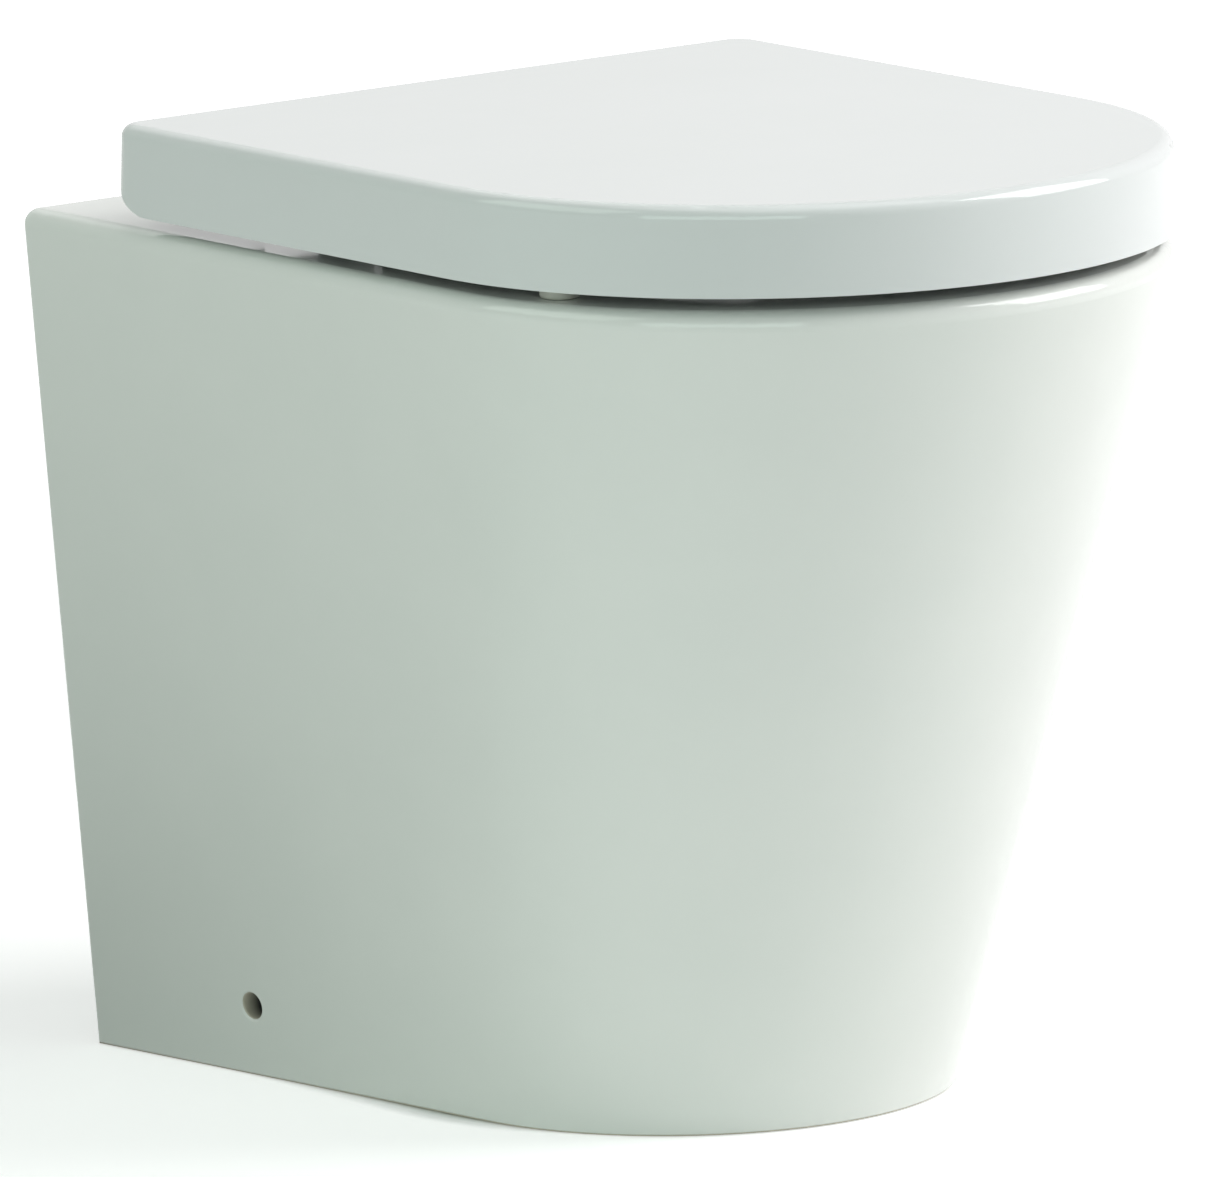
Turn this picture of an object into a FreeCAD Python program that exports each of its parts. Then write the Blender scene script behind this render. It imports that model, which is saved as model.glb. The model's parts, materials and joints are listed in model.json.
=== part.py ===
import FreeCAD, Part
import math
import os

os.makedirs("parts", exist_ok=True)

# Frame: the wall is the plane y = 0, the floor is z = 0, the bowl faces -Y and X runs across.
# Distances named "from wall" are measured forward, so they are -y.

# Pan, outside
PAN_WIDTH = 360.0
PAN_DEPTH = 500.0
PAN_HEIGHT = 388.5
FOOT_WIDTH = 302.0
FOOT_DEPTH = 368.0
FOOT_NOSE_RADIUS = 122.0
SKIRT_WALL = 11.0
DECK_THICKNESS = 16.0
BACK_CORNER_RADIUS = 4.5
RIM_EDGE_RADIUS = 7.0
FOOT_BEVEL = 1.2

# Bowl opening, flush channel and bowl
RIM_SIDE_WIDTH = 48.0
RIM_FRONT_WIDTH = 42.0
OPENING_BACK_FROM_WALL = 165.0
OPENING_EDGE_RADIUS = 7.0
LIP_THICKNESS = 9.0
LIP_HEIGHT = 38.0
CHANNEL_WIDTH = 11.0
CHANNEL_SLOT = 6.0
BOWL_WALL = 10.0
BOWL_SECTIONS = 6

# Sump, trap and outlet
SUMP_RADIUS = 41.0
THROAT_HALF_X = 37.0
THROAT_HALF_Y = 39.0
SUMP_HEIGHT = 62.0
SUMP_FROM_WALL = 277.0
SUMP_POLE_DIP = 0.5
TRAP_BORE_RADIUS = 39.0
TRAP_WALL = 11.0
TRAP_RISE_FROM_WALL = 225.0
TRAP_RISE_DEGREES = 65.0
TRAP_BEND_RADIUS = 60.0
OUTLET_RADIUS = 51.0
OUTLET_HEIGHT = 190.0
OUTLET_SETBACK = 45.0
SPIGOT_LENGTH = 42.0

# Flush inlet and its rubber seal
INLET_BORE_RADIUS = 27.5
INLET_WALL = 10.5
INLET_BELOW_RIM = 58.5
INLET_SETBACK = 75.0
INLET_RISER_WIDTH = 40.0
INLET_RISER_DEPTH = 14.0
SEAL_PIPE_RADIUS = 22.5
SEAL_PIPE_DEPTH = 26.0
SEAL_THROAT_RADIUS = 20.0
SEAL_PLUG_LENGTH = 32.0
SEAL_FIN_COUNT = 3
SEAL_FIN_WIDTH = 4.0
SEAL_FIN_DEPTH = 2.0
SEAL_FLANGE_RADIUS = 36.0
SEAL_FLANGE_THICKNESS = 4.0
SEAL_EDGE_RADIUS = 1.0
SEAL_CUFF_WALL = 4.5
SEAL_CUFF_LENGTH = 30.0

# Side fixing holes
FIXING_HOLE_RADIUS = 6.0
FIXING_HOLE_EDGE_RADIUS = 1.5
FIXING_HOLE_HEIGHT = 33.0
FIXING_HOLE_FROM_WALL = 110.0

# Lid
LID_OVERHANG = 0.5
LID_GAP = 6.5
LID_HEIGHT = 40.0
LID_WALL = 4.5
LID_DRAFT = 2.0
LID_EDGE_RADIUS = 6.0
LID_BACK_CORNER_RADIUS = 13.0
LID_HEEL_RADIUS = 28.0

# Seat ring
RING_FOOT = 7.5
RING_THICKNESS = 24.0
RING_SIDE_GAP = 3.0
RING_SIDE_WIDTH = 63.0
RING_FRONT_WIDTH = 60.0
RING_BACK_WIDTH = 45.0
RING_AHEAD_OF_PILLAR = 32.0
RING_WALL = 5.0
RING_OUTER_EDGE_RADIUS = 8.0
RING_INNER_EDGE_RADIUS = 9.0

# Buffers: their inset from the ring's outer edge and the angle from the cross axis
BUFFER_RADIUS = 9.0
BUFFER_PEG_RADIUS = 3.5
BUFFER_PEG_LENGTH = 8.0
BUFFER_BOSS_RADIUS = 10.0
BUFFER_EDGE_RADIUS = 1.5
LID_BUFFER_RADIUS = 7.0
RING_BUFFER_INSET = 13.0
FRONT_RING_BUFFER_DEGREES = 16.5
BACK_RING_BUFFER_DEGREES = 42.0
LID_BUFFER_INSET = 31.0
FRONT_LID_BUFFER_DEGREES = 55.0
BACK_LID_BUFFER_DEGREES = 30.0

# Hinge
HINGE_SPACING = 155.0
PILLAR_FROM_WALL = 102.0
AXIS_BEHIND_PILLAR = 23.0
LID_BEHIND_AXIS = 9.0
PILLAR_RADIUS = 6.0
BASE_RADIUS = 20.0
BASE_THICKNESS = 4.0
BASE_EDGE_RADIUS = 1.5
GASKET_THICKNESS = 1.0
SLEEVE_RADIUS = 10.0
BLOCK_HEADROOM = 1.5
BARREL_RADIUS = 9.0
BARREL_LENGTH = 40.0
BARREL_HEADROOM = 0.5
ARM_WIDTH = 20.0
ARM_DROP = 6.0
LUG_RADIUS = 8.5
LUG_WIDTH = 14.0
LUG_BORE_DEPTH = 12.0
LUG_SIDE_GAP = 0.6
RING_ARM_OVERLAP = 26.0
RING_ARM_ROOT_DROP = 2.0
RING_ARM_ROOT_DEPTH = 14.0
DAMPER_RADIUS = 6.5
DAMPER_LENGTH = 26.0
DAMPER_BORE_RADIUS = 4.7
DAMPER_END_WALL = 2.5
ROTOR_FLATS = 4.4
PIN_RADIUS = 3.0
PIN_GRIP = 12.0
BUSH_WALL = 1.5
GRUB_RADIUS = 2.0
GRUB_SOCKET_RADIUS = 1.0
GRUB_SOCKET_DEPTH = 2.0

# Seat fixings under the deck
STUD_RADIUS = 4.0
STUD_GRIP = 12.0
STUD_DROP = 30.0
DECK_HOLE_RADIUS = 7.0
CONE_WASHER_RADIUS = 12.0
CONE_WASHER_THICKNESS = 4.0
CONE_SPIGOT_HEIGHT = 5.0
FLAT_WASHER_RADIUS = 11.0
FLAT_WASHER_THICKNESS = 1.5
NUT_RADIUS = 8.0
NUT_HEIGHT = 12.0
WING_REACH = 20.0
WING_THICKNESS = 3.5
WING_HEIGHT = 9.0

# Clearances
SLIP = 0.05
RUNNING = 0.06
VANE_GAP = 0.10
BLOCK_LIFT = 0.3
REST_GAP = 0.2

# Cutting tools reach this far past the faces that they cut
PAST = 2.0

# Smooth outlines: points along a straight side and steps round the nose
SIDE_STEPS = (0.0, 0.5, 0.8)
NOSE_STEPS = 24

# Edges count as level within the first of these, and as belonging to an outline within the second
LEVEL_TOLERANCE = 0.001
OUTLINE_MARGIN = 1.0

# Levels and places that follow from the sizes
NOSE_FROM_WALL = PAN_DEPTH - PAN_WIDTH / 2
SIDE_SHARE = NOSE_FROM_WALL / (2 * NOSE_FROM_WALL + math.pi * PAN_WIDTH / 2)
DECK_UNDERSIDE = PAN_HEIGHT - DECK_THICKNESS
LIP_BOTTOM = PAN_HEIGHT - LIP_HEIGHT
INLET_HEIGHT = PAN_HEIGHT - INLET_BELOW_RIM
LID_BOTTOM = PAN_HEIGHT + LID_GAP
LID_TOP = LID_BOTTOM + LID_HEIGHT
LID_UNDERSIDE = LID_TOP - LID_WALL
LID_HALF = PAN_WIDTH / 2 + LID_OVERHANG
RING_BOTTOM = PAN_HEIGHT + RING_FOOT
RING_TOP = RING_BOTTOM + RING_THICKNESS
RING_RADIUS = LID_HALF - LID_DRAFT - LID_WALL - RING_SIDE_GAP
RING_BACK_FROM_WALL = PILLAR_FROM_WALL + RING_AHEAD_OF_PILLAR
RING_BACK_REACH = NOSE_FROM_WALL - RING_BACK_FROM_WALL
AXIS_Y = -PILLAR_FROM_WALL + AXIS_BEHIND_PILLAR
AXIS_Z = LID_UNDERSIDE - BARREL_HEADROOM - BARREL_RADIUS
LID_BACK_FROM_WALL = -AXIS_Y - LID_BEHIND_AXIS
BASE_BOTTOM = PAN_HEIGHT + GASKET_THICKNESS
BASE_TOP = BASE_BOTTOM + BASE_THICKNESS
BLOCK_TOP = LID_UNDERSIDE - BLOCK_HEADROOM


def at(x, y, z):
    return FreeCAD.Vector(x, y, z)


ALONG_X = at(1, 0, 0)
ALONG_Y = at(0, 1, 0)
ALONG_Z = at(0, 0, 1)


def cylinder_x(radius, x_start, length, y, z):
    return Part.makeCylinder(radius, length, at(x_start, y, z), ALONG_X)


def cylinder_y(radius, y_start, length, x, z):
    return Part.makeCylinder(radius, length, at(x, y_start, z), ALONG_Y)


def cylinder_z(radius, z_start, length, x, y):
    return Part.makeCylinder(radius, length, at(x, y, z_start), ALONG_Z)


def box(x_range, y_range, z_range):
    size = [high - low for low, high in (x_range, y_range, z_range)]
    return Part.makeBox(*size, at(x_range[0], y_range[0], z_range[0]))


def prism(wire, height):
    return Part.Face(wire).extrude(at(0, 0, height))


def nose_tangent(half_width, nose_radius, front, back):
    """Nose centre, and the angle from +Y at which the left side touches the nose circle."""
    centre_y = nose_radius - front
    run = -back - centre_y
    reach = math.hypot(half_width, run)
    turn = math.atan2(half_width, run) + math.acos(nose_radius / reach)
    return centre_y, turn


def d_outline(half_width, nose_radius, front, back, z):
    """D-shaped outline: straight back, sides tangent to a round nose."""
    centre_y, turn = nose_tangent(half_width, nose_radius, front, back)
    tangent_x = nose_radius * math.sin(turn)
    tangent_y = centre_y + nose_radius * math.cos(turn)
    left_back = at(-half_width, -back, z)
    right_back = at(half_width, -back, z)
    left_nose = at(-tangent_x, tangent_y, z)
    right_nose = at(tangent_x, tangent_y, z)
    nose = Part.Arc(left_nose, at(0, -front, z), right_nose)
    return Part.Wire([
        Part.LineSegment(right_back, left_back).toShape(),
        Part.LineSegment(left_back, left_nose).toShape(),
        nose.toShape(),
        Part.LineSegment(right_nose, right_back).toShape(),
    ])


def smooth_d_outline(half_width, nose_radius, front, back, z):
    """The same outline with sides and nose as one smooth curve, so that no seam shows on the china."""
    centre_y, turn = nose_tangent(half_width, nose_radius, front, back)
    corner = at(-half_width, -back, z)
    touch = at(-nose_radius * math.sin(turn), centre_y + nose_radius * math.cos(turn), z)
    points = [corner + (touch - corner) * share for share in SIDE_STEPS]
    places = [SIDE_SHARE * share for share in SIDE_STEPS]
    for step in range(NOSE_STEPS + 1):
        share = step / NOSE_STEPS
        angle = turn + (2 * math.pi - 2 * turn) * share
        points.append(at(-nose_radius * math.sin(angle), centre_y + nose_radius * math.cos(angle), z))
        places.append(SIDE_SHARE + (1 - 2 * SIDE_SHARE) * share)
    for share in reversed(SIDE_STEPS):
        left = corner + (touch - corner) * share
        points.append(at(-left.x, left.y, z))
        places.append(1 - SIDE_SHARE * share)
    start = (touch - corner) * (1 / SIDE_SHARE)
    curve = Part.BSplineCurve()
    curve.interpolate(Points=points, Parameters=places, InitialTangent=start,
                      FinalTangent=at(start.x, -start.y, 0), Scale=False)
    back_line = Part.LineSegment(points[-1], points[0])
    return Part.Wire([curve.toShape(), back_line.toShape()])


def ellipse_curve(half_x, half_y, centre_y, z):
    """Ellipse that starts on its longer axis, and its angle where it meets the +X side."""
    centre = at(0, centre_y, z)
    if half_y > half_x:
        return Part.Ellipse(centre + at(0, half_y, 0), centre + at(-half_x, 0, 0), centre), -math.pi / 2
    return Part.Ellipse(centre + at(half_x, 0, 0), centre + at(0, half_y, 0), centre), 0.0


def ellipse(half_x, half_y, centre_y, z):
    curve, side_angle = ellipse_curve(half_x, half_y, centre_y, z)
    return Part.Wire([curve.toShape()])


def egg_outline(half_x, front_y, back_y, centre_y, z):
    """Front and back half ellipses that share their width."""
    back, back_side = ellipse_curve(half_x, back_y, centre_y, z)
    front, front_side = ellipse_curve(half_x, front_y, centre_y, z)
    return Part.Wire([
        Part.ArcOfEllipse(back, back_side, back_side + math.pi).toShape(),
        Part.ArcOfEllipse(front, front_side + math.pi, front_side + 2 * math.pi).toShape(),
    ])


def edges_at_height(shape, z):
    level = []
    for edge in shape.Edges:
        bounds = edge.BoundBox
        if abs(bounds.ZMin - z) < LEVEL_TOLERANCE and abs(bounds.ZMax - z) < LEVEL_TOLERANCE:
            level.append(edge)
    return level


def upright_edges_at(shape, y):
    """Edges that climb, with both ends at this y."""
    found = []
    for edge in shape.Edges:
        bounds = edge.BoundBox
        level = abs(bounds.YMin - y) < LEVEL_TOLERANCE and abs(bounds.YMax - y) < LEVEL_TOLERANCE
        if level and bounds.ZLength > OUTLINE_MARGIN:
            found.append(edge)
    return found


def edges_within(edges, half_x, front, back):
    """Edges inside an outline that reaches half_x to both sides, front and back measured from the wall."""
    inside = []
    for edge in edges:
        bounds = edge.BoundBox
        across = max(-bounds.XMin, bounds.XMax) < half_x + OUTLINE_MARGIN
        if across and -bounds.YMin < front + OUTLINE_MARGIN and -bounds.YMax > back - OUTLINE_MARGIN:
            inside.append(edge)
    return inside


def save(name, shape):
    if not shape.isValid():
        print("not valid:", name)
    shape.exportStep("parts/" + name + ".step")
    print(name, len(shape.Solids), "solid(s), volume", round(shape.Volume), "mm3")


# Pan

OPENING_HALF_X = PAN_WIDTH / 2 - RIM_SIDE_WIDTH
OPENING_FRONT = PAN_DEPTH - RIM_FRONT_WIDTH
OPENING_HALF_Y = (OPENING_FRONT - OPENING_BACK_FROM_WALL) / 2
OPENING_Y = -(OPENING_FRONT + OPENING_BACK_FROM_WALL) / 2


def opening_ellipse(grow, z):
    return ellipse(OPENING_HALF_X + grow, OPENING_HALF_Y + grow, OPENING_Y, z)


def skirt_solid(insets, back, z_bottom, z_top):
    """Straight-ruled skirt between two of its outlines, each inset by its own amount, with a flat back."""
    wires = []
    for inset, z in zip(insets, (z_bottom, z_top)):
        share = z / PAN_HEIGHT
        half = FOOT_WIDTH / 2 + (PAN_WIDTH - FOOT_WIDTH) / 2 * share
        nose = FOOT_NOSE_RADIUS + (PAN_WIDTH / 2 - FOOT_NOSE_RADIUS) * share
        front = FOOT_DEPTH + (PAN_DEPTH - FOOT_DEPTH) * share
        wires.append(smooth_d_outline(half - inset, nose - inset, front - inset, back, z))
    bottom, top = wires
    low_right, low_left = [vertex.Point for vertex in bottom.Edges[1].Vertexes]
    high_right, high_left = [vertex.Point for vertex in top.Edges[1].Vertexes]
    side = Part.makeRuledSurface(bottom.Edges[0], top.Edges[0])
    rear = Part.Face(Part.makePolygon([low_right, low_left, high_left, high_right, low_right]))
    shell = Part.Shell([side, rear, Part.Face(bottom), Part.Face(top)])
    shell.sewShape()
    return Part.Solid(shell)


def foot_wedge():
    """What comes off the foot's sides and nose to bevel them; the back edge stays, flush with the wall."""
    slab = box((-PAN_WIDTH, PAN_WIDTH), (-PAN_DEPTH, PAST), (-PAST, FOOT_BEVEL + PAST))
    return slab.cut(skirt_solid((FOOT_BEVEL + PAST, -PAST), -2 * PAST, -PAST, FOOT_BEVEL + PAST))


def bowl_loft(grow):
    """Bowl from the throat over the sump to the lip, widening along half a cosine wave."""
    top_x = OPENING_HALF_X + LIP_THICKNESS + CHANNEL_SLOT
    top_y = OPENING_HALF_Y + LIP_THICKNESS + CHANNEL_SLOT
    wires = []
    for step in range(BOWL_SECTIONS):
        share = step / (BOWL_SECTIONS - 1)
        swell = (1 - math.cos(math.pi * share)) / 2
        half_x = THROAT_HALF_X + (top_x - THROAT_HALF_X) * swell + grow
        half_y = THROAT_HALF_Y + (top_y - THROAT_HALF_Y) * swell + grow
        centre_y = -SUMP_FROM_WALL + (OPENING_Y + SUMP_FROM_WALL) * swell
        z = SUMP_HEIGHT + (LIP_BOTTOM - SUMP_HEIGHT) * share
        wires.append(ellipse(half_x, half_y, centre_y, z))
    return Part.makeLoft(wires, True, False)


def trap_path():
    """Centre line: back from the sump, up the rise, then level to the outlet."""
    angle = math.radians(TRAP_RISE_DEGREES)
    climb = OUTLET_HEIGHT - SUMP_HEIGHT - 2 * TRAP_BEND_RADIUS * (1 - math.cos(angle))
    rise = climb / math.sin(angle)
    bend_y = TRAP_BEND_RADIUS * math.sin(angle)
    bend_z = TRAP_BEND_RADIUS * (1 - math.cos(angle))
    half_y = TRAP_BEND_RADIUS * math.sin(angle / 2)
    half_z = TRAP_BEND_RADIUS * (1 - math.cos(angle / 2))
    start = at(0, -SUMP_FROM_WALL, SUMP_HEIGHT)
    low = at(0, -TRAP_RISE_FROM_WALL, SUMP_HEIGHT)
    low_mid = low + at(0, half_y, half_z)
    low_end = low + at(0, bend_y, bend_z)
    high_start = low_end + at(0, rise * math.cos(angle), climb)
    high = high_start + at(0, bend_y, bend_z)
    high_mid = high - at(0, half_y, half_z)
    end = at(0, -OUTLET_SETBACK, OUTLET_HEIGHT)
    return [
        Part.LineSegment(start, low).toShape(),
        Part.Arc(low, low_mid, low_end).toShape(),
        Part.LineSegment(low_end, high_start).toShape(),
        Part.Arc(high_start, high_mid, high).toShape(),
        Part.LineSegment(high, end).toShape(),
    ]


def trap_tube(radius):
    section = Part.Wire([Part.Circle(at(0, -SUMP_FROM_WALL, SUMP_HEIGHT), ALONG_Y, radius).toShape()])
    return Part.Wire(trap_path()).makePipeShell([section], True, False)


def sump_ball(radius):
    """Round sump floor, with its poles turned into the trap and the throat."""
    pole = at(0, 1, -SUMP_POLE_DIP)
    return Part.makeSphere(radius, at(0, -SUMP_FROM_WALL, SUMP_HEIGHT), pole)


def fixing_hole_rims(body):
    """Outer edges of the two fixing holes."""
    rims = []
    for edge in body.Edges:
        bounds = edge.BoundBox
        round_hole = bounds.ZLength < 2 * FIXING_HOLE_RADIUS + OUTLINE_MARGIN
        beside = abs(bounds.Center.z - FIXING_HOLE_HEIGHT) < OUTLINE_MARGIN
        along = abs(bounds.Center.y + FIXING_HOLE_FROM_WALL) < OUTLINE_MARGIN
        outside = abs(bounds.Center.x) > FOOT_WIDTH / 2 - SKIRT_WALL
        if round_hole and beside and along and outside:
            rims.append(edge)
    return rims


def pan():
    outer = skirt_solid((0, 0), 0, 0, PAN_HEIGHT)
    outer = outer.makeFillet(BACK_CORNER_RADIUS, upright_edges_at(outer, 0))
    outer = outer.makeFillet(RIM_EDGE_RADIUS, edges_at_height(outer, PAN_HEIGHT))
    outer = outer.cut(foot_wedge())
    mouth = prism(opening_ellipse(0, LIP_BOTTOM - PAST), LIP_HEIGHT + 2 * PAST)
    outer = outer.cut(mouth)
    mouth_edges = edges_within(edges_at_height(outer, PAN_HEIGHT), OPENING_HALF_X, OPENING_FRONT,
                               OPENING_BACK_FROM_WALL)
    outer = outer.makeFillet(OPENING_EDGE_RADIUS, mouth_edges)

    channel_grow = LIP_THICKNESS + CHANNEL_WIDTH
    channel_height = DECK_UNDERSIDE - LIP_BOTTOM
    channel_back = OPENING_Y + OPENING_HALF_Y + LIP_THICKNESS
    riser_front = channel_back + CHANNEL_WIDTH - PAST
    riser_x = (-INLET_RISER_WIDTH / 2, INLET_RISER_WIDTH / 2)
    inlet_end = riser_front + INLET_RISER_DEPTH
    inlet_run = -INLET_SETBACK - inlet_end

    # China left standing inside the hollow skirt
    keep = [
        bowl_loft(BOWL_WALL),
        sump_ball(SUMP_RADIUS + BOWL_WALL),
        trap_tube(TRAP_BORE_RADIUS + TRAP_WALL),
        cylinder_y(OUTLET_RADIUS, -OUTLET_SETBACK - SPIGOT_LENGTH, SPIGOT_LENGTH, 0, OUTLET_HEIGHT),
        prism(opening_ellipse(channel_grow + BOWL_WALL, LIP_BOTTOM - PAST), channel_height + 2 * PAST),
        cylinder_y(INLET_BORE_RADIUS + INLET_WALL, channel_back, -INLET_SETBACK - channel_back,
                   0, INLET_HEIGHT),
        box((riser_x[0] - INLET_WALL, riser_x[1] + INLET_WALL), (channel_back, inlet_end + INLET_WALL),
            (INLET_HEIGHT, DECK_UNDERSIDE + PAST)),
    ]
    hollow = skirt_solid((SKIRT_WALL, SKIRT_WALL), -PAST, -PAST, DECK_UNDERSIDE)
    for solid in keep:
        hollow = hollow.cut(solid)
    body = outer.cut(hollow)

    ring_outer = prism(opening_ellipse(channel_grow, LIP_BOTTOM - PAST), channel_height + PAST)
    ring_inner = prism(opening_ellipse(LIP_THICKNESS, LIP_BOTTOM - 2 * PAST), channel_height + 4 * PAST)
    hollows = [
        bowl_loft(0),
        sump_ball(SUMP_RADIUS),
        trap_tube(TRAP_BORE_RADIUS),
        cylinder_y(TRAP_BORE_RADIUS, -OUTLET_SETBACK - PAST, 2 * PAST, 0, OUTLET_HEIGHT),
        ring_outer.cut(ring_inner),
        cylinder_y(INLET_BORE_RADIUS, inlet_end - PAST, inlet_run + 2 * PAST, 0, INLET_HEIGHT),
        box(riser_x, (riser_front, inlet_end), (INLET_HEIGHT, DECK_UNDERSIDE)),
    ]
    for side in (-1, 1):
        hollows.append(cylinder_z(DECK_HOLE_RADIUS, DECK_UNDERSIDE - PAST, DECK_THICKNESS + 2 * PAST,
                                  side * HINGE_SPACING / 2, -PILLAR_FROM_WALL))
    hollows.append(cylinder_x(FIXING_HOLE_RADIUS, -PAN_WIDTH / 2, PAN_WIDTH,
                              -FIXING_HOLE_FROM_WALL, FIXING_HOLE_HEIGHT))
    for solid in hollows:
        body = body.cut(solid)
    return body.makeFillet(FIXING_HOLE_EDGE_RADIUS, fixing_hole_rims(body))


# Rubber seal that takes the flush pipe, plugged into the inlet

def inlet_seal():
    face = -INLET_SETBACK
    plug_radius = INLET_BORE_RADIUS - SLIP
    plug_end = face - SEAL_PLUG_LENGTH
    fin_pitch = SEAL_PLUG_LENGTH / SEAL_FIN_COUNT
    body = cylinder_y(plug_radius - SEAL_FIN_DEPTH, plug_end, SEAL_PLUG_LENGTH, 0, INLET_HEIGHT)
    for fin in range(SEAL_FIN_COUNT):
        body = body.fuse(cylinder_y(plug_radius, plug_end + fin * fin_pitch, SEAL_FIN_WIDTH, 0, INLET_HEIGHT))
    flange = cylinder_y(SEAL_FLANGE_RADIUS, face, SEAL_FLANGE_THICKNESS, 0, INLET_HEIGHT)
    flange = flange.makeFillet(SEAL_EDGE_RADIUS, flange.Edges)
    body = body.fuse(flange)
    body = body.fuse(cylinder_y(SEAL_PIPE_RADIUS + SEAL_CUFF_WALL, face, SEAL_CUFF_LENGTH, 0, INLET_HEIGHT))
    whole = SEAL_PLUG_LENGTH + SEAL_CUFF_LENGTH
    body = body.cut(cylinder_y(SEAL_THROAT_RADIUS, plug_end - PAST, whole + 2 * PAST, 0, INLET_HEIGHT))
    mouth = face + SEAL_CUFF_LENGTH
    pipe_seat = cylinder_y(SEAL_PIPE_RADIUS, mouth - SEAL_PIPE_DEPTH, SEAL_PIPE_DEPTH + PAST, 0, INLET_HEIGHT)
    return body.cut(pipe_seat).removeSplitter()


# Lid

def lid_loft(inset, back, z_bottom, z_top):
    wires = []
    for z in (z_bottom, z_top):
        lean = LID_DRAFT * (z - LID_BOTTOM) / LID_HEIGHT + inset
        wires.append(d_outline(LID_HALF - lean, LID_HALF - lean, PAN_DEPTH + LID_OVERHANG - lean, back, z))
    return Part.makeLoft(wires, True, True)


def lug_span(side, inner):
    """X range of the lug on the inner or the outer end of a side's barrel."""
    post = side * HINGE_SPACING / 2
    toward = -side if inner else side
    start = post + toward * (BARREL_LENGTH / 2 + LUG_SIDE_GAP)
    return start, toward


def lug_bore(side, inner, radius, depth):
    start, toward = lug_span(side, inner)
    return Part.makeCylinder(radius, depth, at(start, AXIS_Y, AXIS_Z), at(toward, 0, 0))


def flats_bar(half_height):
    """Slab that leaves two flats on a shaft along the hinge axis."""
    reach_y = PIN_RADIUS + PAST
    return box((-PAN_WIDTH, PAN_WIDTH), (AXIS_Y - reach_y, AXIS_Y + reach_y),
               (AXIS_Z - half_height, AXIS_Z + half_height))


def drive_hole(side, inner):
    shaft = lug_bore(side, inner, PIN_RADIUS + SLIP, LUG_BORE_DEPTH)
    return shaft.common(flats_bar(ROTOR_FLATS / 2 + SLIP))


def bush_hole(side, inner):
    return lug_bore(side, inner, PIN_RADIUS + RUNNING + BUSH_WALL, LUG_BORE_DEPTH)


# The left damper turns with the ring on its inner lug, the right one with the lid on its outer lug.
DAMPER_ON_INNER_LUG = {-1: True, 1: False}


def lug_hole(side, inner):
    if DAMPER_ON_INNER_LUG[side] == inner:
        return drive_hole(side, inner)
    return bush_hole(side, inner)


def seat_lid():
    back = LID_BACK_FROM_WALL
    shell = lid_loft(0, back, LID_BOTTOM, LID_TOP)
    shell = shell.makeFillet(LID_BACK_CORNER_RADIUS, upright_edges_at(shell, -back))
    shell = shell.makeFillet(LID_EDGE_RADIUS, edges_at_height(shell, LID_TOP))
    inner_back = back + LID_WALL
    hollow = lid_loft(LID_WALL, inner_back, LID_BOTTOM - PAST, LID_UNDERSIDE)
    hollow = hollow.makeFillet(LID_BACK_CORNER_RADIUS - LID_WALL, upright_edges_at(hollow, -inner_back))
    shell = shell.cut(hollow)

    # Way out at the back for the hinges, between the outer lugs
    way_half, _ = lug_span(1, False)
    shell = shell.cut(box((-way_half, way_half), (-inner_back - PAST, -back + PAST),
                          (LID_BOTTOM - PAST, LID_UNDERSIDE)))

    # Rounded heel at the lower back corner of each side
    heel_y = -back - LID_HEEL_RADIUS
    heel_z = LID_BOTTOM + LID_HEEL_RADIUS
    heel = box((-LID_HALF - PAST, LID_HALF + PAST), (heel_y, -back + PAST), (LID_BOTTOM - PAST, heel_z))
    heel = heel.cut(cylinder_x(LID_HEEL_RADIUS, -LID_HALF - PAST, 2 * LID_HALF + 2 * PAST, heel_y, heel_z))
    shell = shell.cut(heel)

    for side in (-1, 1):
        start, toward = lug_span(side, False)
        x_range = sorted((start, start + toward * LUG_WIDTH))
        lug = cylinder_x(LUG_RADIUS, x_range[0], LUG_WIDTH, AXIS_Y, AXIS_Z)
        web = box(x_range, (AXIS_Y - LUG_RADIUS, AXIS_Y + LUG_RADIUS), (AXIS_Z, LID_UNDERSIDE))
        shell = shell.fuse(lug.fuse(web))
        shell = shell.cut(lug_hole(side, False))
    return shell.removeSplitter()


# Seat ring

def ring_place(inset, degrees, forward):
    """Mirrored places at an inset from the ring's edge, on its front or its back half."""
    angle = math.radians(degrees)
    x = (RING_RADIUS - inset) * math.cos(angle)
    if forward:
        y = -NOSE_FROM_WALL - (RING_RADIUS - inset) * math.sin(angle)
    else:
        y = -NOSE_FROM_WALL + (RING_BACK_REACH - inset) * math.sin(angle)
    return [(-x, y), (x, y)]


RING_BUFFERS = {
    "front": ring_place(RING_BUFFER_INSET, FRONT_RING_BUFFER_DEGREES, True),
    "back": ring_place(RING_BUFFER_INSET, BACK_RING_BUFFER_DEGREES, False),
}
LID_BUFFERS = {
    "front": ring_place(LID_BUFFER_INSET, FRONT_LID_BUFFER_DEGREES, True),
    "back": ring_place(LID_BUFFER_INSET, BACK_LID_BUFFER_DEGREES, False),
}
RING_HOLE_HALF_X = RING_RADIUS - RING_SIDE_WIDTH
RING_HOLE_FRONT = NOSE_FROM_WALL + RING_RADIUS - RING_FRONT_WIDTH
RING_HOLE_BACK = RING_BACK_FROM_WALL + RING_BACK_WIDTH


def ring_outline(inset, z):
    radius = RING_RADIUS - inset
    return egg_outline(radius, radius, RING_BACK_REACH - inset, -NOSE_FROM_WALL, z)


def ring_hole(grow, z):
    half_y = (RING_HOLE_FRONT - RING_HOLE_BACK) / 2
    centre_y = -(RING_HOLE_FRONT + RING_HOLE_BACK) / 2
    return ellipse(RING_HOLE_HALF_X + grow, half_y + grow, centre_y, z)


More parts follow.
